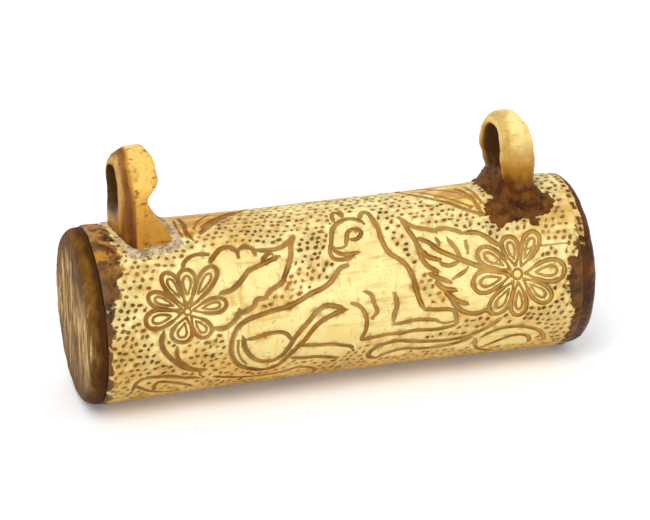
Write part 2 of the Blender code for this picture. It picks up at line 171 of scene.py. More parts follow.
# The scrolling ground; the last cut, a hair line, is the crack in the bone
GROUND = (
    (DEEP, ((4.9, -9.2), (3.6, -8.2), (3.7, -6.9), (4.9, -5.8), (6.5, -5.2), (8.4, -5.1), (10.6, -5.7),
            (13.8, -6.2), (16.1, -6.4), (18.4, -6.2), (20.4, -5.6), (22.0, -4.8), (23.4, -3.9),
            (24.6, -2.9))),
    (DEEP, ((4.9, -9.2), (6.0, -8.2), (7.6, -7.5), (9.5, -7.3), (11.4, -7.7), (13.8, -8.0), (16.2, -7.9),
            (18.4, -7.3), (20.2, -6.4))),
    (MEDIUM, ((22.0, -6.6), (23.4, -5.6), (25.2, -5.0), (27.5, -5.0), (29.7, -5.6), (31.3, -6.5),
              (32.3, -7.8), (32.9, -9.4))),
    (MEDIUM, ((22.9, -9.8), (23.8, -9.0), (25.2, -8.0), (27.0, -7.2), (28.8, -7.2), (30.0, -8.1),
              (30.4, -9.7))),
    (MEDIUM, ((20.9, -7.0), (21.4, -9.2), (22.8, -11.0), (25.0, -12.2))),
    (HAIR, ((23.4, 6.3), (25.0, 7.1), (27.2, 7.7), (29.3, 8.0), (32.0, 8.2), (35.4, 8.2))),
)
GROUND_BODY = ((4.0, -9.0), (4.0, -6.2), (8.4, -5.1), (16.1, -6.4), (24.0, -3.4), (27.5, -5.0), (31.8, -7.0),
               (30.0, -10.0), (22.0, -10.0), (13.8, -8.0))

# Each petal: direction in degrees, length and width
LEFT_FLOWER = ((-25.6, 4.8), ((83, 6.5, 3.0), (113, 6.8, 2.6), (152, 6.4, 2.5), (188, 6.6, 3.1),
                              (252, 4.9, 3.5), (306, 5.2, 2.8), (5, 6.2, 2.5), (51, 8.2, 2.6)))
RIGHT_FLOWER = ((27.2, 4.3), ((143, 7.3, 3.2), (97, 6.1, 2.8), (58, 7.4, 2.8), (-1, 7.8, 3.8),
                              (-43, 7.2, 3.0), (-88, 7.0, 2.8), (-124, 7.3, 3.3), (187, 7.3, 3.8)))

# Bare panels on the top: one beside each loop, pointing to the middle of the case
TOP_PANELS = (
    (DEEP, ((-21.0, 18.0), (-19.4, 19.4), (-17.5, 21.1), (-15.2, 22.9), (-12.4, 25.0), (-11.6, 25.9))),
    (DEEP, ((-20.6, 19.3), (-18.6, 21.2), (-16.4, 22.9), (-14.2, 24.6))),
    (DEEP, ((-21.6, 33.4), (-19.2, 31.6), (-16.6, 29.6), (-14.0, 27.6), (-11.6, 25.9))),
    (MEDIUM, ((-22.6, 16.6), (-23.2, 18.4), (-23.0, 20.8), (-23.2, 23.0))),
    (FINE, ((-24.0, 17.6), (-24.4, 19.6), (-24.2, 22.4))),
    (FINE, ((-21.6, 19.6), (-20.4, 21.8), (-18.6, 23.8))),
    (MEDIUM, ((24.0, 14.7), (21.9, 15.9), (20.4, 17.1), (18.6, 18.7), (16.6, 20.3), (14.9, 22.0),
            (13.2, 24.2), (12.5, 25.6))),
    (FINE, ((22.0, 17.0), (20.2, 18.8), (18.2, 20.6), (16.0, 23.0))),
    (DEEP, ((24.0, 34.6), (20.4, 32.6), (16.8, 29.6), (14.2, 27.2), (12.5, 25.6))),
    (FINE, ((21.6, 20.8), (19.8, 22.6), (17.8, 24.4), (16.4, 25.8))),
    (MEDIUM, ((23.5, 15.4), (23.3, 17.6), (22.7, 20.2), (21.8, 22.6))),
    (FINE, ((24.2, 17.6), (24.0, 20.0), (23.4, 22.6))),
)
LEFT_PANEL_BODY = ((-25.2, 17.0), (-22.4, 17.0), (-17.6, 21.2), (-11.6, 25.9), (-16.6, 29.8), (-22.4, 33.6),
                   (-25.2, 33.6))
RIGHT_PANEL_BODY = ((24.2, 14.8), (18.6, 18.7), (12.5, 25.6), (16.8, 29.6), (24.2, 34.6))


def smooth_path(points, step):
    """Points every step along a smooth curve through the given points."""
    p = np.array([(2 * points[0][0] - points[1][0], 2 * points[0][1] - points[1][1]), *points,
                  (2 * points[-1][0] - points[-2][0], 2 * points[-1][1] - points[-2][1])], float)
    t = np.linspace(0, 1, 12, endpoint=False)[:, None]
    runs = []
    for a, b, c, d in zip(p, p[1:], p[2:], p[3:]):
        runs.append(0.5 * (2 * b + (c - a) * t + (2 * a - 5 * b + 4 * c - d) * t ** 2
                           + (3 * b - a - 3 * c + d) * t ** 3))
    curve = np.vstack([*runs, p[-2:-1]])
    lengths = np.concatenate([[0], np.cumsum(np.hypot(*np.diff(curve, axis=0).T))])
    count = max(2, int(round(lengths[-1] / step)) + 1)
    at = np.linspace(0, lengths[-1], count)
    return np.column_stack([np.interp(at, lengths, curve[:, 0]), np.interp(at, lengths, curve[:, 1])])


def teardrop(tip, angle, length, width, steps=14):
    """A closed petal outline, pointed at its tip and round at its far end."""
    c, s = math.cos(angle), math.sin(angle)
    outline = []
    for i in range(steps + 1):
        a = math.tau * i / steps
        along = length * (1 - math.cos(a)) / 2
        across = width / 2 * math.sin(a) * abs(math.sin(a / 2)) ** 1.1 * 1.22
        outline.append((tip[0] + c * along - s * across, tip[1] + s * along + c * across))
    return outline


def flower(centre, petals, eye):
    """A flower's cuts and the bare areas inside its petals; eye is the radius of its middle."""
    cuts, bare = [], []
    for degrees, length, width in petals:
        angle = math.radians(degrees)
        c, s = math.cos(angle), math.sin(angle)
        tip = (centre[0] + c * eye, centre[1] + s * eye)
        cuts.append((MEDIUM, teardrop(tip, angle, length - eye, width)))
        start = (centre[0] + c * length * 0.38, centre[1] + s * length * 0.38)
        cuts.append((FINE, teardrop(start, angle, length * 0.46, width * 0.44, 10)))
        bare.append(teardrop(centre, angle, length, width))
    ring = [(centre[0] + 0.62 * eye * math.cos(math.tau * i / 8),
             centre[1] + 0.62 * eye * math.sin(math.tau * i / 8)) for i in range(9)]
    cuts.append((FINE, ring))
    return cuts, bare


def moved(cuts, dx, ds, mirror=1):
    """The same cuts somewhere else, mirrored along the case if asked."""
    return [(gouge, [(mirror * x + dx, s + ds) for x, s in points]) for gouge, points in cuts]


def back_pattern():
    """The far side's own pattern: a central rosette between two leafy sprays, over a scrolling ground."""
    cuts, bare = [], []
    petals = [(45 * i + 22, 7.6, 3.6) for i in range(8)]
    for centre, spread in (((0.0, BACK_LINE), petals),
                           ((-25.5, BACK_LINE - 2), [(45 * i, 5.8, 3.0) for i in range(8)]),
                           ((25.5, BACK_LINE - 2), [(45 * i, 5.8, 3.0) for i in range(8)])):
        more_cuts, more_bare = flower(centre, spread, 1.0)
        cuts += more_cuts
        bare += more_bare
    for mirror in (-1, 1):
        leaf = moved(RIGHT_LEAF, -2.4 if mirror > 0 else 2.4, BACK_LINE - 6.0, mirror)
        cuts += leaf
        bare.append([(mirror * (x - 2.4), s + BACK_LINE - 6.0) for x, s in RIGHT_LEAF_BODY])
    wave = [(x, BACK_LINE + 12.5 + 1.3 * math.sin(x / 3.4)) for x in range(-33, 34, 2)]
    cuts.append((DEEP, wave))
    cuts.append((MEDIUM, [(x, s + 1.7) for x, s in wave]))
    return cuts, bare


def whole_pattern():
    """Every cut, and every area free of punched dots; the last two areas are scraped panels."""
    cuts = [*CAT, *LEFT_LEAF, *LEFT_STEM, *RIGHT_LEAF, *GROUND, *TOP_PANELS]
    bare = [CAT_BODY, LEFT_LEAF_BODY, RIGHT_LEAF_BODY, GROUND_BODY]
    for (centre, petals), eye in ((LEFT_FLOWER, 0.9), (RIGHT_FLOWER, 1.3)):
        more_cuts, more_bare = flower(centre, petals, eye)
        cuts += more_cuts
        bare += more_bare
    more_cuts, more_bare = back_pattern()
    return cuts + more_cuts, bare + more_bare + [LEFT_PANEL_BODY, RIGHT_PANEL_BODY]


def inside(points, outline):
    """Which points lie inside a closed outline."""
    x, y = points[:, 0], points[:, 1]
    hit = np.zeros(len(points), bool)
    for (ax, ay), (bx, by) in zip(outline, [*outline[1:], outline[0]]):
        if ay == by:
            continue
        crosses = (ay > y) != (by > y)
        hit ^= crosses & (x < (bx - ax) * (y - ay) / (by - ay) + ax)
    return hit


# ---------------------------------------------------------------- the carved tube

SEAM = -GIRTH / 4 - 4.0
CUT_STEP = 0.07
ROW_STEP = 0.29
HAIR_ROW_STEP = 0.5
BORDER_STEP = 0.42
FIELD_STEP = 0.62
SHEET_CELL = 0.4
SHEET_MARGIN = 0.25
END_SIDES = 200
# Least distances between points: along cuts, in dots and in the plain field
CUT_GAP, DOT_GAP, FIELD_GAP = 0.11, 0.10, 0.34
DOT_ROW_GAP, DOT_COLUMN_GAP = 1.10, 1.26
# Values painted as "bare", and the stain painted where bone is always plain
PLAIN, SCRAPED = 1.0, 2.0
NO_STAIN = -5.0
EDGE_ROUNDING = 0.6


def wrapped(s):
    """s brought into the unrolled sheet, which is cut open beside the line that the case rests on."""
    return (s - SEAM) % GIRTH + SEAM


class Cuts:
    """Nearest-cut lookup: how deep the surface is cut at a point, and how brown."""

    def __init__(self, cuts):
        self.source = cuts
        samples = []
        for gouge, points in cuts:
            half_width, depth = GOUGES[gouge]
            path = smooth_path(points, CUT_STEP)
            ends = np.linspace(0, 1, len(path))
            from_end = np.minimum(ends, 1 - ends) * len(path) * CUT_STEP
            closed = np.hypot(*(path[0] - path[-1])) < 0.2
            taper = np.clip(from_end / 2.6, 0.48, 1.0) if closed else np.clip(from_end / 0.5, 0.66, 1.0)
            for (x, s), share in zip(path, taper):
                wobble = (1 + 0.22 * noise.noise(Vector((x * 0.7, s * 0.7, 3.0)))
                          + 0.12 * noise.noise(Vector((x * 2.3, s * 2.3, 9.0))))
                samples.append((x, wrapped(s), half_width * share * wobble, depth * share * wobble))
        edge = [(x, s + shift, w, d) for x, s, w, d in samples for shift in (-GIRTH, GIRTH)
                if SEAM - 2 < s + shift < SEAM + GIRTH + 2]
        self.samples = samples + edge
        self.tree = kdtree.KDTree(len(self.samples))
        for i, (x, s, _, _) in enumerate(self.samples):
            self.tree.insert((x, s, 0), i)
        self.tree.balance()

    def near(self, x, s):
        """Distance to the nearest cut's edge; negative inside it."""
        _, i, distance = self.tree.find((x, s, 0))
        return distance - self.samples[i][2]

    def depth(self, x, s):
        """Depth of the cut and its stain, from 0 to 1; the stain also sets where the finish paints shade on
        the cut's walls.
        """
        deepest, stain = 0.0, 0.0
        for _, i, distance in self.tree.find_n((x, s, 0), 4):
            _, _, half_width, depth = self.samples[i]
            share = distance / half_width
            if share < 1.02:
                deepest = max(deepest, depth * max(0.0, 1 - share * share) ** 0.75)
                stain = max(stain, max(0.0, 1.0 - share))
        return deepest, stain


class Sheet:
    """Points of the unrolled surface, kept a little apart so that no sliver faces appear."""

    def __init__(self):
        self.points, self.cells = [], {}

    def add(self, x, s, apart, extra=(0.0, 0.0)):
        """Keep a point unless another one is too near; extra is its own pit depth and pit stain."""
        cell = (int(x / SHEET_CELL), int(s / SHEET_CELL))
        for i in range(cell[0] - 1, cell[0] + 2):
            for j in range(cell[1] - 1, cell[1] + 2):
                for px, ps in self.cells.get((i, j), ()):
                    if (px - x) ** 2 + (ps - s) ** 2 < apart * apart:
                        return
        self.cells.setdefault(cell, []).append((x, s))
        self.points.append((x, s, *extra))


def punched_dots(cuts, bare):
    """Places of the punched dots: rough rows around the case, clear of the cuts and of the bare areas."""
    rows = int(GIRTH / DOT_ROW_GAP)
    places = []
    for row in range(rows):
        for column in range(int(2 * CARVED_REACH / DOT_COLUMN_GAP) + 1):
            x = -CARVED_REACH + DOT_COLUMN_GAP * (column + 0.5 * (row % 2)) + random.uniform(-0.30, 0.30)
            s = SEAM + GIRTH * (row + 0.5) / rows + random.uniform(-0.26, 0.26)
            drift = noise.noise(Vector((x * 0.10, s * 0.10, 7.0)))
            places.append((x + 0.9 * drift, s + 0.9 * drift))
    grid = np.array(places)
    free = np.abs(grid[:, 0]) < CARVED_REACH - 0.8
    free &= (grid[:, 1] > SEAM + 0.7) & (grid[:, 1] < SEAM + GIRTH - 0.7)
    for outline in bare:
        free &= ~inside(grid, outline)
    return [(x, s) for x, s in grid[free] if cuts.near(x, s) > 0.40]


def sheet_points(cuts, bare):
    """All the points of the carved sheet."""
    sheet = Sheet()
    columns = int(round(2 * CARVED_REACH / BORDER_STEP))
    for i in range(columns + 1):
        x = -CARVED_REACH + 2 * CARVED_REACH * i / columns
        sheet.add(x, SEAM, 0.0)
        sheet.add(x, SEAM + GIRTH, 0.0)
    for i in range(1, END_SIDES):
        for x in (-CARVED_REACH, CARVED_REACH):
            sheet.add(x, SEAM + GIRTH * i / END_SIDES, 0.0)

    def add(x, s, apart, extra=(0.0, 0.0)):
        if abs(x) < CARVED_REACH - SHEET_MARGIN and SEAM + SHEET_MARGIN < s < SEAM + GIRTH - SHEET_MARGIN:
            sheet.add(x, s, apart, extra)

    for gouge, points in cuts.source:
        half_width, _ = GOUGES[gouge]
        path = smooth_path(points, ROW_STEP if gouge != HAIR else HAIR_ROW_STEP)
        along = np.gradient(path, axis=0)
        along /= np.maximum(np.hypot(*along.T), 1e-6)[:, None]
        for offset in (0.0, -1.0, 1.0, -0.6, 0.6):
            if gouge == HAIR and abs(offset) == 0.6:
                continue
            for (x, s), (tx, ts) in zip(path, along):
                add(x - ts * offset * half_width, wrapped(s + tx * offset * half_width), CUT_GAP)
    for x, s in punched_dots(cuts, bare):
        long = random.uniform(0.32, 0.58)
        wide = random.uniform(0.25, 0.41)
        turn = 0.5 + random.uniform(-0.7, 0.7)
        depth = random.uniform(0.13, 0.26)
        strength = random.uniform(0.50, 1.0)
        heel = random.uniform(0.10, 0.30) * long
        c, t = math.cos(turn), math.sin(turn)
        add(x + heel * c, s + heel * t, DOT_GAP, (depth, strength))
        for count, share, sunk, stain in ((6, 0.62, 0.75, 1.0), (9, 1.0, 0.0, 0.30)):
            for i in range(count):
                a = math.tau * (i + 0.3) / count
                u = share * long * math.cos(a) * random.uniform(0.85, 1.1) + heel * (1 - share)
                v = share * wide * math.sin(a) * random.uniform(0.85, 1.1)
                add(x + u * c - v * t, s + u * t + v * c, DOT_GAP, (depth * sunk, strength * stain))
    for i in range(int(2 * CARVED_REACH / FIELD_STEP)):
        for j in range(int(GIRTH / FIELD_STEP)):
            add(-CARVED_REACH + FIELD_STEP * (i + 0.5) + random.uniform(-0.16, 0.16),
                SEAM + FIELD_STEP * (j + 0.5) + random.uniform(-0.16, 0.16), FIELD_GAP)
    return sheet.points


# How far the brown stain of each end reaches along the tube: (s, width) rows, all around
LEFT_STAIN = ((-26, 0.9), (-14, 1.1), (-8, 0.8), (-3, 0.6), (1, 0.6), (4, 1.2), (7, 1.6), (10, 2.5),
              (12, 3.5), (14.5, 3.9), (17, 3.7), (21, 3.6), (27, 2.8), (33, 1.4), (43, 0.8), (61, 0.8))
RIGHT_STAIN = ((-26, 0.9), (-14, 1.8), (-7.5, 1.4), (-3, 1.7), (-1, 2.2), (0.5, 2.9), (3, 2.8), (5, 2.3),
               (6.3, 1.4), (8, 0.7), (10, 0.4), (13, -0.6), (27, -0.6), (34, 0.8), (43, 1.2), (61, 0.8))


def stain_reach(x, s):
    """How far inside an end stain the point is, in millimetres; negative outside it."""
    table = LEFT_STAIN if x < 0 else RIGHT_STAIN
    width = np.interp(s, [row[0] for row in table], [row[1] for row in table])
    return float(width - (CARVED_REACH - abs(x)))


def tube_radius(x):
    """Outer radius of the waisted tube at x, in millimetres."""
    return WAIST_RADIUS + (END_RADIUS - WAIST_RADIUS) * min(1.0, abs(x) / HALF_LENGTH) ** 2


def on_surface(x, s, lift=0.0):
    """The point of the tube's surface at (x, s), raised along the radius by lift, in millimetres."""
    angle = s / NOMINAL_RADIUS
    radius = tube_radius(x) + lift
    return Vector((x, -radius * math.cos(angle), AXIS_Z + radius * math.sin(angle)))


def hand_worn(x, s):
    """Slight unevenness of a hand-scraped surface."""
    around = s / NOMINAL_RADIUS
    spot = Vector((x * 0.11, 1.6 * math.cos(around), 1.6 * math.sin(around)))
    return 0.10 * noise.noise(spot) + 0.025 * noise.noise(spot * 5.0)


def new_piece(name, builder, surface, body, slot, *replaced):
    """Finish a bmesh as a smooth piece that rides on a body and stands for CAD nodes."""
    bmesh.ops.recalc_face_normals(builder, faces=builder.faces[:])
    mesh = bpy.data.meshes.new(name)
    builder.to_mesh(mesh)
    builder.free()
    mesh.shade_smooth()
    mesh.materials.append(surface)
    piece = bpy.data.objects.new(name, mesh)
    bpy.context.scene.collection.objects.link(piece)
    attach(piece, body)
    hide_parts(*replaced)
    return piece


def paint_layers(builder, *names):
    """New float layers on the vertices, which the finishes read by name."""
    for name in names:
        builder.verts.layers.float.new(name)
    return [builder.verts.layers.float[name] for name in names]


def crease(edges):
    """Keep these edges crisp under smooth shading."""
    for edge in edges:
        edge.smooth = False


def carved_tube(surface):
    """The engraved tube: a triangulated sheet wrapped around the case, closed by its ends and bore."""
    cut_list, bare = whole_pattern()
    cuts = Cuts(cut_list)
    points = sheet_points(cuts, bare)
    grid = np.array([(x, s) for x, s, _, _ in points])
    plain = np.zeros(len(grid))
    for value, outlines in ((PLAIN, bare[:-2]), (SCRAPED, bare[-2:])):
        for outline in outlines:
            plain[inside(grid, outline)] = value
    builder = bmesh.new()
    cut_layer, pit_layer, bare_layer, stain_layer = paint_layers(builder, "cut", "pit", "bare", "stain")
    vertices = []
    for (x, s, sunk, pit), is_plain in zip(points, plain):
        depth, stain = cuts.depth(x, s)
        edge = max(0.0, abs(x) - (CARVED_REACH - EDGE_ROUNDING)) / EDGE_ROUNDING
        lift = hand_worn(x, s) * (1 - edge) - max(depth, sunk) - 0.22 * edge * edge
        place = on_surface(x, s, lift)
        place.z = max(place.z, 0.0)
        vertex = builder.verts.new(place * MM)
        vertex[cut_layer] = stain
        vertex[pit_layer] = pit
        vertex[bare_layer] = is_plain
        vertex[stain_layer] = stain_reach(x, s)
        vertices.append(vertex)
    flat = delaunay_2d_cdt([Vector((x, s)) for x, s, _, _ in points], [], [], 0, 1e-6)
    for face in flat[2]:
        builder.faces.new([vertices[flat[3][i][0]] for i in face])
    bmesh.ops.remove_doubles(builder, verts=builder.verts[:], dist=1e-7)
    rim = [edge for edge in builder.edges if edge.is_boundary]
    crease(rim)
    faced = bmesh.ops.extrude_edge_only(builder, edges=rim)["geom"]
    bore_edges = [item for item in faced if isinstance(item, bmesh.types.BMEdge) and item.is_boundary]
    for vertex in {v for edge in bore_edges for v in edge.verts}:
        angle = math.atan2(vertex.co.z / MM - AXIS_Z, vertex.co.y / MM)
        side = math.copysign(1.0, vertex.co.x)
        vertex.co = Vector((side * CARVED_REACH, BORE_RADIUS * math.cos(angle),
                            AXIS_Z + BORE_RADIUS * math.sin(angle))) * MM
        vertex[cut_layer] = vertex[pit_layer] = 0.0
        vertex[stain_layer] = NO_STAIN
    crease(bore_edges)
    bmesh.ops.bridge_loops(builder, edges=bore_edges)
    return new_piece("carved_tube", builder, surface, "case", "engraved_bone", "bone_tube")


# ---------------------------------------------------------------- the other pieces

# A loop, by rows of (height above the axis, value): outline holds its half-widths across the case, and
# reach_back and reach_front how far it reaches to each side along the case
LoopShape = namedtuple("LoopShape", "outline arch_top back_shoulder eye_height eye_shift eye_half_height "
                                    "eye_half_width reach_back reach_front crown squareness")
LEFT_LOOP_X, LEFT_LOOP_TURN = -31.1, math.radians(7)
LEFT_LOOP = LoopShape(
    outline=((10.2, 5.8), (14.0, 5.8), (20.0, 5.7)),
    arch_top=27.3,
    back_shoulder=1.5,
    eye_height=20.7,
    eye_shift=1.3,
    eye_half_height=2.9,
    eye_half_width=2.5,
    reach_back=((10.2, 2.5), (14.0, 2.9), (18.0, 2.8), (23.0, 2.8), (25.2, 2.3), (27.3, 1.1)),
    reach_front=((10.2, 5.1), (12.6, 5.0), (14.9, 4.2), (18.1, 1.6), (20.2, 1.1), (23.0, 3.0), (25.2, 3.1),
                 (27.3, 2.3)),
    crown=0.45,
    squareness=5.0)
RIGHT_LOOP_X, RIGHT_LOOP_TURN = 30.0, math.radians(5)
RIGHT_LOOP = LoopShape(
    outline=((10.2, 5.2), (15.0, 5.3), (19.5, 5.5)),
    arch_top=26.4,
    back_shoulder=2.2,
    eye_height=20.5,
    eye_shift=0.3,
    eye_half_height=3.3,
    eye_half_width=2.8,
    reach_back=((10.2, 1.9), (15.5, 2.1), (17.8, 2.7), (20.0, 3.4), (22.5, 3.2), (24.5, 2.8), (26.4, 2.3)),
    reach_front=((10.2, 2.6), (17.0, 2.5), (21.5, 2.5), (24.0, 2.0), (26.4, 1.0)),
    crown=0.20,
    squareness=2.8)
EYE_SQUARENESS = 2.8
LOOP_STATIONS = 44
SECTION_STEPS = 44


def interpolate(table, height):
    """Read a smooth value from (height, value) rows."""
    for (low, a), (high, b) in zip(table, table[1:]):
        if height <= high:
            t = max(0.0, (height - low) / (high - low))
            return a + (b - a) * t * t * (3 - 2 * t)
    return table[-1][1]


def signed_power(value, power):
    """Raise a value's size to a power and keep its sign."""
    return math.copysign(abs(value) ** power, value)


def loop_outline(shape):
    """The loop's outer edge across the case: feet, legs and round arch, as one closed run of points."""
    bottom, foot = shape.outline[0]
    spring, spring_width = shape.outline[-1]
    heights = [bottom + (spring - bottom) * i / LOOP_STATIONS for i in range(LOOP_STATIONS + 1)]
    leg = [(interpolate(shape.outline, z), z) for z in heights]
    arch = []
    for i in range(1, 2 * LOOP_STATIONS):
        angle = math.pi * i / (2 * LOOP_STATIONS)
        power = 2 / shape.back_shoulder if angle < math.pi / 2 else 1.0
        y = spring_width * signed_power(math.cos(angle), power)
        arch.append((y, spring + (shape.arch_top - spring) * math.sin(angle) ** power))
    under = [(foot * (i / 8 - 1), bottom) for i in range(1, 16)]
    return leg + arch + [(-y, z) for y, z in reversed(leg)] + under


def eye_edge(shape, y, z):
    """The point of the eye's edge in the direction of (y, z)."""
    angle = math.atan2(z - shape.eye_height, y - shape.eye_shift)
    c, s = math.cos(angle), math.sin(angle)
    size = (abs(c / shape.eye_half_width) ** EYE_SQUARENESS
            + abs(s / shape.eye_half_height) ** EYE_SQUARENESS) ** (-1 / EYE_SQUARENESS)
    return Vector((0, shape.eye_shift + size * c, shape.eye_height + size * s))


def roughen(builder, amount, scale, seed):
    """Push vertices in and out along their normals by smooth noise; amount in millimetres."""
    builder.normal_update()
    shift = Vector((seed, 2 * seed, 3 * seed))
    moves = [(v, v.normal.copy() * amount * MM * noise.noise(v.co / MM * scale + shift))
             for v in builder.verts]
    for vertex, move in moves:
        vertex.co += move


def skin(builder, rows, closed=True):
    """Bridge rows of vertices into rings of faces; a closed skin joins its last row to its first."""
    pairs = list(zip(rows, rows[1:]))
    if closed:
        pairs.append((rows[-1], rows[0]))
    for low, high in pairs:
        for i in range(len(low)):
            j = (i + 1) % len(low)
            builder.faces.new((low[i], low[j], high[j], high[i]))


def cord_loop(name, surface, slot, x, turn, shape, seed):
    """A bone eye: a strap around an opening that faces along the case."""
    power = 2 / shape.squareness
    half_width = shape.outline[-1][1]
    c, s = math.cos(turn), math.sin(turn)
    builder = bmesh.new()
    outward_layer, side_layer = paint_layers(builder, "outward", "side")
    rows = []
    for y, z in loop_outline(shape):
        inner = eye_edge(shape, y, z)
        outer = Vector((0, y, z))
        row = []
        for i in range(SECTION_STEPS):
            a = math.tau * (i + 0.5) / SECTION_STEPS
            along = signed_power(math.sin(a), power)
            outward = 0.5 + 0.5 * signed_power(math.cos(a), power)
            point = inner.lerp(outer, outward)
            if along > 0:
                reach = interpolate(shape.reach_front, point.z)
            else:
                loss = shape.crown * min(1.0, abs(point.y) / half_width) ** 3
                reach = interpolate(shape.reach_back, point.z) * (1 - loss)
            u = along * reach
            vertex = builder.verts.new(Vector((x + u * c - point.y * s, u * s + point.y * c,
                                               point.z + AXIS_Z)) * MM)
            vertex[outward_layer] = outward
            vertex[side_layer] = min(1.0, max(0.0, (-math.sin(a) - 0.30) * 6.0)) * min(1.0, outward * 4.0)
            row.append(vertex)
        rows.append(row)
    skin(builder, rows)
    bmesh.ops.recalc_face_normals(builder, faces=builder.faces[:])
    roughen(builder, 0.22, 0.30, seed)
    roughen(builder, 0.05, 1.5, seed)
    return new_piece(name + "_bone", builder, surface, "case", slot, name)


def stopper_stain(s):
    """The stopper's rim is dark in front and below, and plain bone over the top."""
    return float(np.interp(s, (-26, 6.5, 10.5, 28, 34, 61), (2.0, 2.0, -2.0, -2.0, 2.0, 2.0)))


# Dots punched in a plug's rim: radius, and the share of their place's radius that they sink
DOT_RADIUS, DOT_SINKING = 0.46, 0.016
PLUG_SIDES = 240


def end_plug(name, surface, slot, body, head_x, face_x, spigot_x, rounding, seed, dot_count):
    """A turned plug: a worn, round-edged head as wide as the case, and a spigot that enters the bore."""
    out = math.copysign(1.0, face_x - head_x)
    head_radius = DISC_HIGH.y
    spigot_radius = BORE_RADIUS - 0.3
    profile = [(spigot_x, 0.01), (spigot_x, spigot_radius * 0.5), (spigot_x, spigot_radius - 0.6),
               (spigot_x + out * 0.6, spigot_radius), (head_x - out * 0.2, spigot_radius),
               (head_x, spigot_radius + 0.2), (head_x, head_radius * 0.86), (head_x, head_radius - 0.2),
               (head_x + out * 0.12, head_radius)]
    straight = abs(face_x - head_x) - rounding
    for i in range(1, 4):
        profile.append((head_x + out * (0.12 + (straight - 0.12) * i / 3), head_radius))
    for i in range(1, 11):
        angle = math.pi / 2 * i / 10
        profile.append((head_x + out * (straight + rounding * math.sin(angle)),
                        head_radius - rounding + rounding * math.cos(angle)))
    for i in range(1, 25):
        profile.append((face_x - out * 0.10 * (i / 24) ** 2,
                        (head_radius - rounding) * (1 - i / 24) + 0.01))
    dots = kdtree.KDTree(max(1, dot_count))
    for i in range(dot_count):
        angle = math.tau * (i + random.uniform(-0.25, 0.9)) / dot_count
        x = head_x + out * (0.55 + 0.95 * (i % 2) + random.uniform(-0.15, 0.15))
        dots.insert((x, head_radius * math.cos(angle), head_radius * math.sin(angle)), i)
    if not dot_count:
        dots.insert((0, 0, 0), 0)
    dots.balance()
    builder = bmesh.new()
    pit_layer, stain_layer = paint_layers(builder, "pit", "stain")
    rows = []
    for x, radius in profile:
        row = []
        for i in range(PLUG_SIDES):
            angle = math.tau * i / PLUG_SIDES
            place = Vector((x, radius * math.cos(angle), radius * math.sin(angle)))
            pit = max(0.0, 1 - (dots.find(place)[2] / DOT_RADIUS) ** 2)
            sunk = Vector((x * DOT_SINKING * pit, 0, AXIS_Z))
            vertex = builder.verts.new((place * (1 - DOT_SINKING * pit) + sunk) * MM)
            vertex[pit_layer] = min(1.0, 1.4 * pit)
            around = math.pi - math.atan2(place.z, place.y)
            in_bore = abs(x) < abs(head_x) - 0.1
            vertex[stain_layer] = NO_STAIN if in_bore else stopper_stain(wrapped(NOMINAL_RADIUS * around))
            row.append(vertex)
        rows.append(row)
    skin(builder, rows, closed=False)
    builder.faces.new(rows[0])
    builder.faces.new(rows[-1])
    bmesh.ops.recalc_face_normals(builder, faces=builder.faces[:])
    roughen(builder, 0.12, 0.35, seed)
    roughen(builder, 0.06, 1.4, seed)
    for row in rows:
        for vertex in row:
            vertex.co.z = max(vertex.co.z, 0.0)
    return new_piece(name + "_bone", builder, surface, body, slot, name)


def foot_distance(x, s, loop_x, turn, back, front, half):
    """How far (x, s) is outside a loop's foot, in millimetres; negative under the foot."""
    y = -WAIST_RADIUS * math.cos(s / NOMINAL_RADIUS)
    c, t = math.cos(turn), math.sin(turn)
    u, v = (x - loop_x) * c + y * t, y * c - (x - loop_x) * t
    du = max(-back - u, u - front)
    dv = abs(v) - half
    if du > 0 and dv > 0:
        return math.hypot(du, dv)
    return max(du, dv)


# Grid step of a heap, how deep its bare spots and its underside lie under the bone
HEAP_STEP = 0.15
BURIED = -0.6
UNDERSIDE = -0.75


def heap(name, surface, slot, low, high, thickness):
    """Stuff lying on the tube: as thick as thickness(x, s) says, and buried where that is negative."""
    columns = int((high[0] - low[0]) / HEAP_STEP)
    rows = int((high[1] - low[1]) / HEAP_STEP)
    builder = bmesh.new()
    sheets = []
    for buried in (False, True):
        sheet = []
        for i in range(columns + 1):
            x = low[0] + (high[0] - low[0]) * i / columns
            line = []
            for j in range(rows + 1):
                s = low[1] + (high[1] - low[1]) * j / rows
                on_edge = i in (0, columns) or j in (0, rows)
                lift = BURIED if on_edge else max(BURIED, thickness(x, s))
                if buried:
                    lift = UNDERSIDE
                line.append(builder.verts.new(on_surface(x, s, lift) * MM))
            sheet.append(line)
        sheets.append(sheet)
    for sheet in sheets:
        for a, b in zip(sheet, sheet[1:]):
            for j in range(rows):
                builder.faces.new((a[j], a[j + 1], b[j + 1], b[j]))
    top, under = sheets

    def border(sheet):
        return (sheet[0][:-1] + [line[-1] for line in sheet[:-1]] + sheet[-1][:0:-1]
                + [line[0] for line in sheet[:0:-1]])

    skin(builder, [border(top), border(under)], closed=False)
    return new_piece(name + "_heap", builder, surface, "case", slot, name)


def bumps(x, s, *layers):
    """Smooth noise on the unrolled surface, as a sum of (height, fineness, seed) layers."""
    return sum(height * noise.noise(Vector((x * fine, s * fine, seed))) for height, fine, seed in layers)


def filler_thickness(x, s):
    """Gritty filler, level with the bone, in the slot around the left loop's foot."""
    outside = foot_distance(x, s, LEFT_LOOP_X, LEFT_LOOP_TURN, 1.7, 5.0, 5.8)
    ragged = 1.35 + 0.40 * noise.noise(Vector((x * 0.8, s * 0.8, 1.0)))
    if outside < -1.6 or outside > ragged:
        return BURIED
    grit = bumps(x, s, (0.12, 3.1, 5.0), (0.09, 7, 2.0))
    edge = min(1.0, (ragged - outside) / 0.45)
    return 0.12 + grit - 0.35 * (1 - edge) ** 2


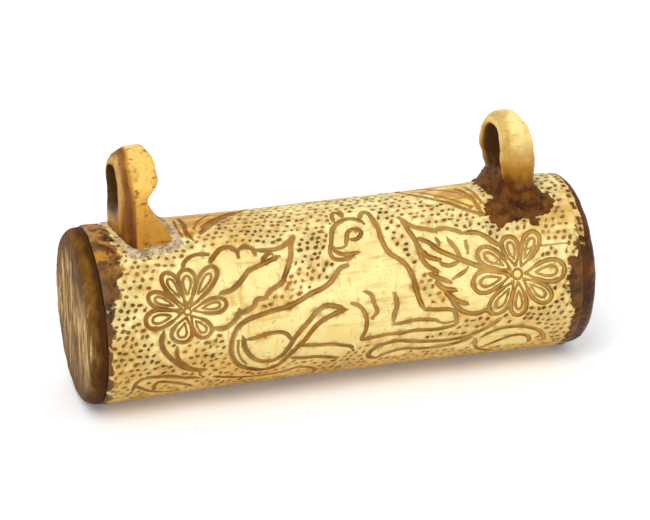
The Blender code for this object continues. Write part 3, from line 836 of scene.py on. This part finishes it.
# Lumps of the resin: middle (x, s), half-sizes and height
RESIN_LUMPS = (
    ((30.6, 15.9), (4.9, 3.3), 0.80),
    ((27.4, 15.4), (3.3, 2.6), 0.75),
    ((26.4, 13.8), (2.0, 1.3), 0.70),
    ((25.0, 15.6), (0.8, 0.8), 0.60),
    ((26.0, 12.6), (0.75, 0.7), 0.60),
    ((31.4, 12.3), (0.8, 0.8), 0.60),
    ((33.4, 16.2), (2.4, 2.1), 0.65),
    ((30.2, 27.2), (4.4, 2.2), 0.80),
    ((32.4, 28.7), (2.0, 1.6), 0.60),
)


def resin_thickness(x, s):
    """Resin squeezed out around the right loop's foot, set in lumps and drawn up its left side."""
    thick = BURIED
    warp = bumps(x, s, (0.22, 0.55, 4.0), (0.10, 1.7, 8.0))
    for (cx, cs), (half_x, half_s), height in RESIN_LUMPS:
        q = math.hypot((x - cx) / half_x, (s - cs) / half_s) + warp
        lump = height * (1 - q * q * q) if q < 1.2 else BURIED
        thick = max(thick, lump)
    outside = foot_distance(x, s, RIGHT_LOOP_X, RIGHT_LOOP_TURN, 1.9, 2.6, 5.2)
    if -2.2 < outside < 4.0:
        collar = 1.55 - 1.1 * max(0.0, outside) + 1.2 * warp
        if x < RIGHT_LOOP_X:
            middle = 1 - min(1.0, (abs(s - TOP_LINE - 0.3) / 6.2)) ** 2.5
            collar = max(collar, 3.9 * middle * math.exp(-max(0.0, outside) / 1.05) - 0.42 + warp)
        thick = max(thick, collar)
    pitted = bumps(x, s, (0.18, 1.6, 6.0), (0.10, 4, 1.0))
    return thick + (pitted if thick > 0 else 0.0)


def wool_wad(surface):
    """A crowned wad of felted wool with loose fibres on its face."""
    low, high = (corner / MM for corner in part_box("needle_wad"))
    radius = high.y
    builder = bmesh.new()
    rows = []
    profile = [(low.x, 0.01), (low.x, radius * 0.6), (low.x + 0.4, radius * 0.95), (low.x + 1.0, radius)]
    profile += [(low.x + 1.0 + (high.x - 1.4 - low.x - 1.0) * i / 8, radius) for i in range(1, 9)]
    profile += [(high.x - 1.4 + 1.4 * math.sin(math.pi / 2 * i / 16),
                 0.01 + radius * math.cos(math.pi / 2 * i / 16)) for i in range(1, 17)]
    for x, ring in profile:
        rows.append([builder.verts.new(Vector((x, ring * math.cos(math.tau * i / 96),
                                               AXIS_Z + ring * math.sin(math.tau * i / 96))) * MM)
                     for i in range(96)])
    skin(builder, rows, closed=False)
    builder.faces.new(rows[0])
    builder.faces.new(rows[-1])
    bmesh.ops.recalc_face_normals(builder, faces=builder.faces[:])
    roughen(builder, 0.35, 0.9, 2.0)
    roughen(builder, 0.18, 3.0, 5.0)
    for _ in range(140):
        turn, reach = random.uniform(0, math.tau), radius * 0.92 * math.sqrt(random.random())
        heading = random.uniform(0, math.tau)
        length = random.uniform(1.2, 3.0)
        side = Vector((0, -math.sin(heading), math.cos(heading)))
        middle = Vector((0, reach * math.cos(turn), reach * math.sin(turn)))
        fibre = []
        for i in range(7):
            t = i / 6 - 0.5
            flat = middle + Vector((0, math.cos(heading), math.sin(heading))) * length * t
            flat += side * 0.5 * math.sin(3 * t + heading)
            if flat.length > radius * 0.95:
                flat *= radius * 0.95 / flat.length
            crown = 1.4 * math.sqrt(max(0.0, 1 - (flat.length / radius) ** 2))
            x = min(high.x + 0.02, high.x - 1.35 + crown + 0.14 * math.cos(math.pi * t) ** 2)
            centre = Vector((x, flat.y, flat.z + AXIS_Z))
            fibre.append([builder.verts.new((centre + (side * math.cos(a) + Vector((math.sin(a), 0, 0)))
                                             * 0.045) * MM) for a in (0.0, 2.1, 4.2)])
        skin(builder, fibre, closed=False)
        builder.faces.new(fibre[0])
        builder.faces.new(fibre[-1])
    return new_piece("needle_wad_wool", builder, surface, "case", "wool", "needle_wad")


# ---------------------------------------------------------------- finishes

def tint(red, green, blue):
    """A display colour from 0 to 255 per channel, as linear light."""
    linear = [c / 255 / 12.92 if c <= 10 else ((c / 255 + 0.055) / 1.055) ** 2.4
              for c in (red, green, blue)]
    return (*linear, 1.0)


class Finish:
    """A procedural material in the making; object coordinates are in metres."""

    def __init__(self, name, roughness, **values):
        self.material = bpy.data.materials.new(name)
        self.material.use_nodes = True
        self.tree = self.material.node_tree
        self.shader = self.tree.nodes["Principled BSDF"]
        self.shader.inputs["Roughness"].default_value = roughness
        for socket, value in values.items():
            self.shader.inputs[socket.replace("_", " ")].default_value = value
        self.place = self.tree.nodes.new("ShaderNodeTexCoord").outputs["Object"]
        self.base = (1.0, 1.0, 1.0, 1.0)

    def put(self, socket, value):
        """Link a socket to another one, or set its value."""
        if isinstance(value, bpy.types.NodeSocket):
            self.tree.links.new(value, socket)
        else:
            socket.default_value = value

    def stretched(self, stretch):
        """Object coordinates scaled along each axis."""
        mapping = self.tree.nodes.new("ShaderNodeMapping")
        self.put(mapping.inputs["Vector"], self.place)
        mapping.inputs["Scale"].default_value = stretch
        return mapping.outputs["Vector"]

    def noise(self, scale, detail=3.0, roughness=0.55, stretch=(1, 1, 1), warp=0.0):
        """Smooth noise from 0 to 1, with its features 1/scale metres apart."""
        texture = self.tree.nodes.new("ShaderNodeTexNoise")
        self.put(texture.inputs["Vector"], self.stretched(stretch))
        texture.inputs["Scale"].default_value = scale
        texture.inputs["Detail"].default_value = detail
        texture.inputs["Roughness"].default_value = roughness
        texture.inputs["Distortion"].default_value = warp
        return texture.outputs["Fac"]

    def axis(self, letter):
        """One object coordinate, in metres."""
        split = self.tree.nodes.new("ShaderNodeSeparateXYZ")
        self.put(split.inputs[0], self.place)
        return split.outputs[letter]

    def painted(self, name):
        """A float stored on the mesh's vertices."""
        attribute = self.tree.nodes.new("ShaderNodeAttribute")
        attribute.attribute_name = name
        return attribute.outputs["Fac"]

    def map(self, value, low, high, to_low=0.0, to_high=1.0):
        """Value brought from low..high to another range, clamped."""
        node = self.tree.nodes.new("ShaderNodeMapRange")
        self.put(node.inputs["Value"], value)
        limits = {"From Min": low, "From Max": high, "To Min": to_low, "To Max": to_high}
        for socket, number in limits.items():
            node.inputs[socket].default_value = number
        return node.outputs["Result"]

    def calculate(self, operation, a, b):
        """Arithmetic on two values."""
        node = self.tree.nodes.new("ShaderNodeMath")
        node.operation = operation
        self.put(node.inputs[0], a)
        self.put(node.inputs[1], b)
        return node.outputs[0]

    def mix(self, factor, a, b):
        """Colour a turned into colour b by factor."""
        node = self.tree.nodes.new("ShaderNodeMix")
        node.data_type = "RGBA"
        self.put(node.inputs[0], factor)
        self.put(node.inputs[6], a)
        self.put(node.inputs[7], b)
        return node.outputs[2]

    def patchy(self, texture, low, high, least=0.0, most=1.0):
        """Noise brought from low..high to least..most; texture holds the arguments of noise."""
        return self.map(self.noise(*texture), low, high, least, most)

    def mottled(self, texture, low, high, first, second):
        """One colour turning into another in patches, as noise goes from low to high."""
        return self.mix(self.patchy(texture, low, high), first, second)

    def wander(self, value, texture, amount, low=0.3):
        """A value moved up and down by noise, by up to amount."""
        return self.calculate("ADD", value, self.patchy(texture, low, 1 - low, -amount, amount))

    def over(self, mask, colour):
        """Lay a colour over the base colour, as far as the mask says."""
        self.base = self.mix(mask, self.base, colour)

    def done(self, texture=None, millimetres=0.0, strength=1.0):
        """Lay on the base colour, with fine relief from noise if asked, and return the material."""
        self.put(self.shader.inputs["Base Color"], self.base)
        if texture:
            node = self.tree.nodes.new("ShaderNodeBump")
            node.inputs["Strength"].default_value = strength
            node.inputs["Distance"].default_value = millimetres * MM
            self.put(node.inputs["Height"], self.noise(*texture))
            self.put(self.shader.inputs["Normal"], node.outputs["Normal"])
        return self.material


def engraved_bone():
    """Yellowed bone: golden below and cream above, partly as painted shade; brown cuts with painted shade on
    their walls, brown pits, and stained ends.
    """
    finish = Finish("engraved bone", 0.42, Subsurface_Weight=0.06, Subsurface_Scale=0.0012,
                    Specular_IOR_Level=0.15)
    # Painted shade, partly the bone's own stain: golden towards the bottom, cream towards the top.
    height = finish.map(finish.axis("Z"), 0.000, 0.019)
    clouds = finish.noise(90, 4)
    shade = finish.map(finish.calculate("ADD", height, finish.map(clouds, 0.3, 0.7, -0.25, 0.25)), 0.0, 1.0)
    finish.base = finish.mix(shade, tint(204, 160, 70), tint(250, 234, 164))
    patches = finish.patchy((150, 3, 0.6, (0.6, 1, 1)), 0.46, 0.70, 0.0, 0.75)
    finish.over(patches, tint(216, 170, 80))
    ochre = finish.patchy((520, 4, 0.65), 0.50, 0.70, 0.0, 0.70)
    finish.over(ochre, tint(202, 152, 60))
    bare = finish.painted("bare")
    finish.over(finish.map(bare, 0.0, 1.0, 0.0, 0.55), tint(237, 221, 146))
    grain = finish.patchy((800, 3, 0.65, (0.10, 1, 1)), 0.56, 0.68, 0.0, 0.45)
    finish.over(grain, tint(196, 150, 66))
    scratches = finish.patchy((1300, 3, 0.65, (1, 0.35, 0.12), 0.5), 0.60, 0.66, 0.0, 0.45)
    finish.over(scratches, tint(190, 144, 64))
    flecks = finish.patchy((1900, 2, 0.6, (0.5, 1, 1)), 0.66, 0.72, 0.0, 0.55)
    finish.over(flecks, tint(160, 112, 44))
    pale = finish.mix(finish.map(finish.axis("X"), -0.010, 0.010), tint(222, 172, 84), tint(248, 210, 118))
    panel = finish.mottled((700, 3, 0.6, (0.25, 1, 1)), 0.42, 0.60, tint(188, 132, 46), pale)
    finish.over(finish.map(bare, 1.0, 2.0, 0.0, 0.90), panel)
    # Painted shade over the cut's own brown stain: the cut's walls are darker than its floor.
    stain_and_shade_strength = finish.patchy((260, 3), 0.35, 0.65, 0.72, 1.0)
    cut = finish.painted("cut")
    edge = finish.mottled((330, 3, 0.6), 0.36, 0.64, tint(108, 64, 12), tint(154, 100, 26))
    finish.over(finish.calculate("MULTIPLY", finish.map(cut, 0.0, 0.16), stain_and_shade_strength), edge)
    across = finish.wander(finish.axis("X"), (300, 3), 0.026)
    floor = finish.mix(finish.map(across, -0.030, 0.034), tint(140, 92, 24), tint(208, 158, 66))
    finish.over(finish.map(cut, 0.40, 0.90, 0.0, 0.75), floor)
    pits = finish.mottled((170, 3), 0.38, 0.62, tint(112, 72, 18), tint(166, 118, 42))
    finish.over(finish.map(finish.painted("pit"), 0.08, 0.62), pits)
    reach = finish.wander(finish.painted("stain"), (420, 4, 0.65), 1.3, 0.25)
    amber = finish.map(finish.axis("Z"), 0.0235, 0.0258)
    dark = finish.mottled((420, 3), 0.40, 0.62, tint(58, 28, 6), tint(104, 60, 16))
    light = finish.mottled((520, 3), 0.42, 0.60, tint(84, 44, 10), tint(184, 122, 36))
    finish.over(finish.map(reach, -0.10, 0.25, 0.0, 0.96), finish.mix(amber, dark, light))
    return finish.done((2600, 4, 0.7, (0.35, 1, 1)), 0.05, 0.5)


def end_bone():
    """A slice of mottled bone with pale fibres standing upright, and a brown rim."""
    finish = Finish("end bone", 0.60, Specular_IOR_Level=0.05)
    fibres = finish.noise(900, 5, 0.65, (1, 1, 0.12), 0.9)
    finish.base = finish.mix(finish.map(fibres, 0.42, 0.58), tint(122, 82, 34), tint(232, 194, 126))
    lines = finish.patchy((1100, 3, 0.6, (1, 1, 0.10), 1.2), 0.56, 0.61, 0.0, 0.85)
    finish.over(lines, tint(62, 36, 12))
    clouds = finish.patchy((150, 3), 0.46, 0.66, 0.0, 0.75)
    finish.over(clouds, tint(112, 76, 32))
    low = finish.map(finish.axis("Z"), 0.0030, 0.0125, 0.85, 0.0)
    finish.over(low, tint(82, 50, 18))
    top = finish.wander(finish.axis("Z"), (200, 3), 0.003)
    finish.over(finish.map(top, 0.0185, 0.0230, 0.0, 0.90), tint(88, 52, 10))
    radius = finish.tree.nodes.new("ShaderNodeVectorMath")
    radius.operation = "DISTANCE"
    finish.put(radius.inputs[0], finish.stretched((0, 1, 1)))
    radius.inputs[1].default_value = (0, 0, AXIS_Z * MM)
    wavy = finish.wander(radius.outputs["Value"], (200, 3), 0.0005)
    rim = finish.mix(finish.map(top, 0.010, 0.022), tint(70, 40, 14), tint(124, 84, 28))
    rim = finish.mix(finish.patchy((700, 3), 0.40, 0.60, 0.0, 0.5), rim, tint(92, 58, 20))
    finish.over(finish.map(wavy, 0.0124, 0.0133, 0.0, 0.92), rim)
    joint = -JOINT_REACH * MM
    ragged = finish.wander(finish.axis("X"), (260, 3), 0.0006)
    finish.over(finish.map(ragged, joint - 0.0016, joint - 0.0008, 0.0, 0.92), tint(66, 36, 8))
    return finish.done((1800, 4, 0.7, (1, 1, 0.3)), 0.14, 0.8)


def stained_bone():
    """Bone stained nearly black-brown with amber flecks, left bare over the top of its rim."""
    finish = Finish("stained bone", 0.38, Specular_IOR_Level=0.16)
    finish.base = finish.mottled((260, 4, 0.65), 0.35, 0.62, tint(54, 26, 6), tint(96, 54, 16))
    finish.over(finish.patchy((520, 3, 0.6), 0.60, 0.72, 0.0, 0.7), tint(150, 92, 28))
    bone = finish.mottled((300, 4), 0.40, 0.64, tint(226, 200, 124), tint(186, 136, 54))
    bone = finish.mix(finish.map(finish.painted("pit"), 0.10, 0.6), bone, tint(104, 68, 20))
    reach = finish.wander(finish.painted("stain"), (380, 4, 0.7), 2.4, 0.25)
    rim = finish.map(finish.axis("X"), 0.0390, 0.0398, 0.0, 7.0)
    reach = finish.calculate("ADD", reach, rim)
    finish.base = finish.mix(finish.map(reach, -0.2, 0.4), bone, finish.base)
    return finish.done((1400, 4, 0.7), 0.12, 0.7)


def loop_bone(name, outer, side, heights, pore_share, edge_share):
    """Handled bone of a loop.

    outer and side hold the colours of its outer faces and of its left side at the three heights, low to
    high. pore_share is how dark the pores are, and edge_share how strong the painted shade and stain of the
    hollow and the painted highlight of the lip are.
    """
    finish = Finish(name, 0.38, Subsurface_Weight=0.05, Subsurface_Scale=0.0012, Specular_IOR_Level=0.12)
    level = finish.wander(finish.axis("Z"), (170, 3), 0.0012)
    faces = []
    for low_colour, middle_colour, top_colour in (outer, side):
        face = finish.mix(finish.map(level, heights[0], heights[1]), low_colour, middle_colour)
        faces.append(finish.mix(finish.map(level, heights[1], heights[2]), face, top_colour))
    # The left side takes its own colours; where they are darker than the outer faces', that is painted shade
    # with some stain.
    finish.base = finish.mix(finish.painted("side"), faces[0], faces[1])
    outward = finish.painted("outward")
    # Painted shade with some stain: a dark band in the hollow of the left side, between the eye's lip and
    # the outer edge.
    rising = finish.map(outward, 0.52, 0.70)
    falling = finish.map(outward, 0.90, 0.98, 1.0, 0.0)
    hollow = finish.calculate("MULTIPLY", finish.calculate("MULTIPLY", rising, falling), edge_share)
    hollow = finish.calculate("MULTIPLY", hollow, finish.patchy((260, 3), 0.35, 0.60, 0.7, 1.0))
    finish.over(finish.calculate("MULTIPLY", hollow, finish.painted("side")), tint(92, 48, 10))
    # Painted highlight: a lighter golden lip along the eye's edge.
    lip = finish.map(outward, 0.52, 0.36, 0.0, 0.75)
    finish.over(finish.calculate("MULTIPLY", lip, edge_share), tint(214, 158, 66))
    streaks = finish.patchy((520, 3, 0.6, (1, 1, 0.30)), 0.50, 0.70, 0.0, 0.60)
    finish.over(streaks, side[1])
    pores = finish.patchy((1500, 2, 0.5, (0.5, 0.8, 1.3)), 0.60, 0.70, 0.0, pore_share)
    finish.over(pores, tint(120, 72, 20))
    # Painted shade with some stain: the eye's inner wall is dark brown.
    finish.over(finish.map(outward, 0.30, 0.12, 0.0, 0.95), tint(64, 32, 8))
    return finish.done((1700, 4, 0.65, (1, 1, 0.4)), 0.09, 0.7)


def grey_filler():
    """Sandy grey filler with dark and pale grains."""
    finish = Finish("grey filler", 0.85)
    finish.base = finish.mottled((900, 3, 0.7), 0.40, 0.60, tint(152, 128, 92), tint(224, 202, 164))
    finish.over(finish.patchy((2600, 2, 0.6), 0.60, 0.66, 0.0, 0.8), tint(74, 54, 34))
    return finish.done((2600, 4, 0.8), 0.16, 0.9)


def dark_resin():
    """Old brown-black resin with dusty flecks."""
    finish = Finish("dark resin", 0.50, Specular_IOR_Level=0.10)
    finish.base = finish.mottled((380, 4, 0.65), 0.36, 0.62, tint(66, 32, 6), tint(122, 74, 24))
    finish.over(finish.patchy((900, 3, 0.7), 0.62, 0.70, 0.0, 0.6), tint(140, 96, 42))
    finish.over(finish.patchy((2600, 2, 0.6), 0.68, 0.74, 0.0, 0.7), tint(190, 160, 112))
    return finish.done((1500, 5, 0.75), 0.25, 0.9)


def wool():
    """Undyed wool."""
    finish = Finish("wool", 0.95, Sheen_Weight=0.4)
    finish.base = finish.mottled((1200, 3, 0.7), 0.35, 0.65, tint(168, 150, 118), tint(222, 208, 178))
    return finish.done()


def needle_steel():
    """Bright drawn steel, a little tarnished in places."""
    finish = Finish("needle steel", 0.24, Metallic=1.0)
    finish.base = finish.mottled((500, 3, 0.6, (0.2, 1, 1)), 0.50, 0.75,
                                 tint(205, 205, 202), tint(128, 118, 104))
    return finish.done()


# ---------------------------------------------------------------- assembling

def build_pieces():
    """Make every visible piece of the case."""
    carved_tube(engraved_bone())
    end_plug("left_end_disc", end_bone(), "end_bone", "case", -JOINT_REACH, DISC_LOW.x, DISC_HIGH.x,
             1.8, 3.0, 0)
    end_plug("right_stopper", stained_bone(), "stained_bone", "stopper", JOINT_REACH, STOPPER_HIGH.x,
             STOPPER_LOW.x, 2.0, 9.0, 130)
    # The honey loop's left side colours are darker than its outer faces': painted shade with some stain.
    honey = loop_bone("honey bone", (tint(186, 132, 46), tint(206, 152, 58), tint(236, 194, 100)),
                      (tint(98, 52, 14), tint(160, 98, 30), tint(210, 150, 60)), (0.0275, 0.0325, 0.0375),
                      0.8, 0.9)
    cream = loop_bone("cream bone", (tint(92, 46, 6), tint(160, 106, 16), tint(246, 220, 144)),
                      (tint(100, 54, 12), tint(180, 126, 40), tint(236, 204, 120)), (0.0300, 0.0330, 0.0372),
                      0.3, 0.3)
    cord_loop("left_loop", honey, "honey_bone", LEFT_LOOP_X, LEFT_LOOP_TURN, LEFT_LOOP, 1.0)
    cord_loop("right_loop", cream, "cream_bone", RIGHT_LOOP_X, RIGHT_LOOP_TURN, RIGHT_LOOP, 4.0)
    heap("left_loop_filler", grey_filler(), "grey_filler", (-36.6, 12.0), (-22.8, 31.0), filler_thickness)
    heap("right_loop_resin", dark_resin(), "dark_resin", (22.6, 10.8), (36.9, 31.4), resin_thickness)
    wool_wad(wool())
    steel = needle_steel()
    for name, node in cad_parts.items():
        if name.startswith("needle_") and name != "needle_wad":
            node.data.materials.clear()
            node.data.materials.append(steel)


LIT_POINT = Vector((0, 0, 0.015))
CAMERA_AZIMUTH, CAMERA_ELEVATION = math.radians(-16.47), math.radians(24)
CAMERA_DISTANCE, CAMERA_UP, CAMERA_RIGHT = 0.45, 0.0041, -0.00015
CAMERA_LENS = 157.95


def stage_and_camera():
    """Pale floor that glows a little, soft studio light and the camera."""
    builder = bmesh.new()
    bmesh.ops.create_grid(builder, x_segments=1, y_segments=1, size=2.0)
    mesh = bpy.data.meshes.new("floor")
    builder.to_mesh(mesh)
    builder.free()
    floor = bpy.data.objects.new("floor", mesh)
    bpy.context.scene.collection.objects.link(floor)
    # The floor glows a little: painted light that lightens its shadows and the case's underside.
    paper = Finish("white paper", 0.9, Emission_Color=(1, 1, 1, 1), Emission_Strength=0.12)
    paper.base = (0.97, 0.97, 0.97, 1.0)
    mesh.materials.append(paper.done())

    world = bpy.data.worlds.new("studio")
    world.use_nodes = True
    world.node_tree.nodes["Background"].inputs["Color"].default_value = (1, 1, 1, 1)
    world.node_tree.nodes["Background"].inputs["Strength"].default_value = 0.66
    bpy.context.scene.world = world
    lights = (((-0.25, -0.35, 0.60), 0.40, 2.4),
              ((0.45, -0.20, 0.40), 0.35, 0.7),
              ((0.0, 0.45, 0.45), 0.40, 0.6))
    for place, size, watts in lights:
        light = bpy.data.lights.new("softbox", "AREA")
        light.size = size
        light.energy = watts
        lamp = bpy.data.objects.new("softbox", light)
        lamp.location = place
        lamp.rotation_euler = (LIT_POINT - Vector(place)).to_track_quat("-Z", "Y").to_euler()
        bpy.context.scene.collection.objects.link(lamp)

    level = math.cos(CAMERA_ELEVATION)
    back = Vector((math.sin(CAMERA_AZIMUTH) * level, -math.cos(CAMERA_AZIMUTH) * level,
                   math.sin(CAMERA_ELEVATION)))
    right = Vector((math.cos(CAMERA_AZIMUTH), math.sin(CAMERA_AZIMUTH), 0))
    up = back.cross(right)
    lens = bpy.data.cameras.new("camera")
    lens.lens = CAMERA_LENS
    lens.sensor_width = 36
    camera = bpy.data.objects.new("camera", lens)
    place = Vector((0, 0, AXIS_Z * MM)) + CAMERA_DISTANCE * back + CAMERA_UP * up + CAMERA_RIGHT * right
    turn = Matrix((right, up, back)).transposed().to_4x4()
    camera.matrix_world = Matrix.Translation(place) @ turn
    bpy.context.scene.collection.objects.link(camera)
    bpy.context.scene.camera = camera
    bpy.context.scene.view_settings.view_transform = "Standard"


build_pieces()
stage_and_camera()
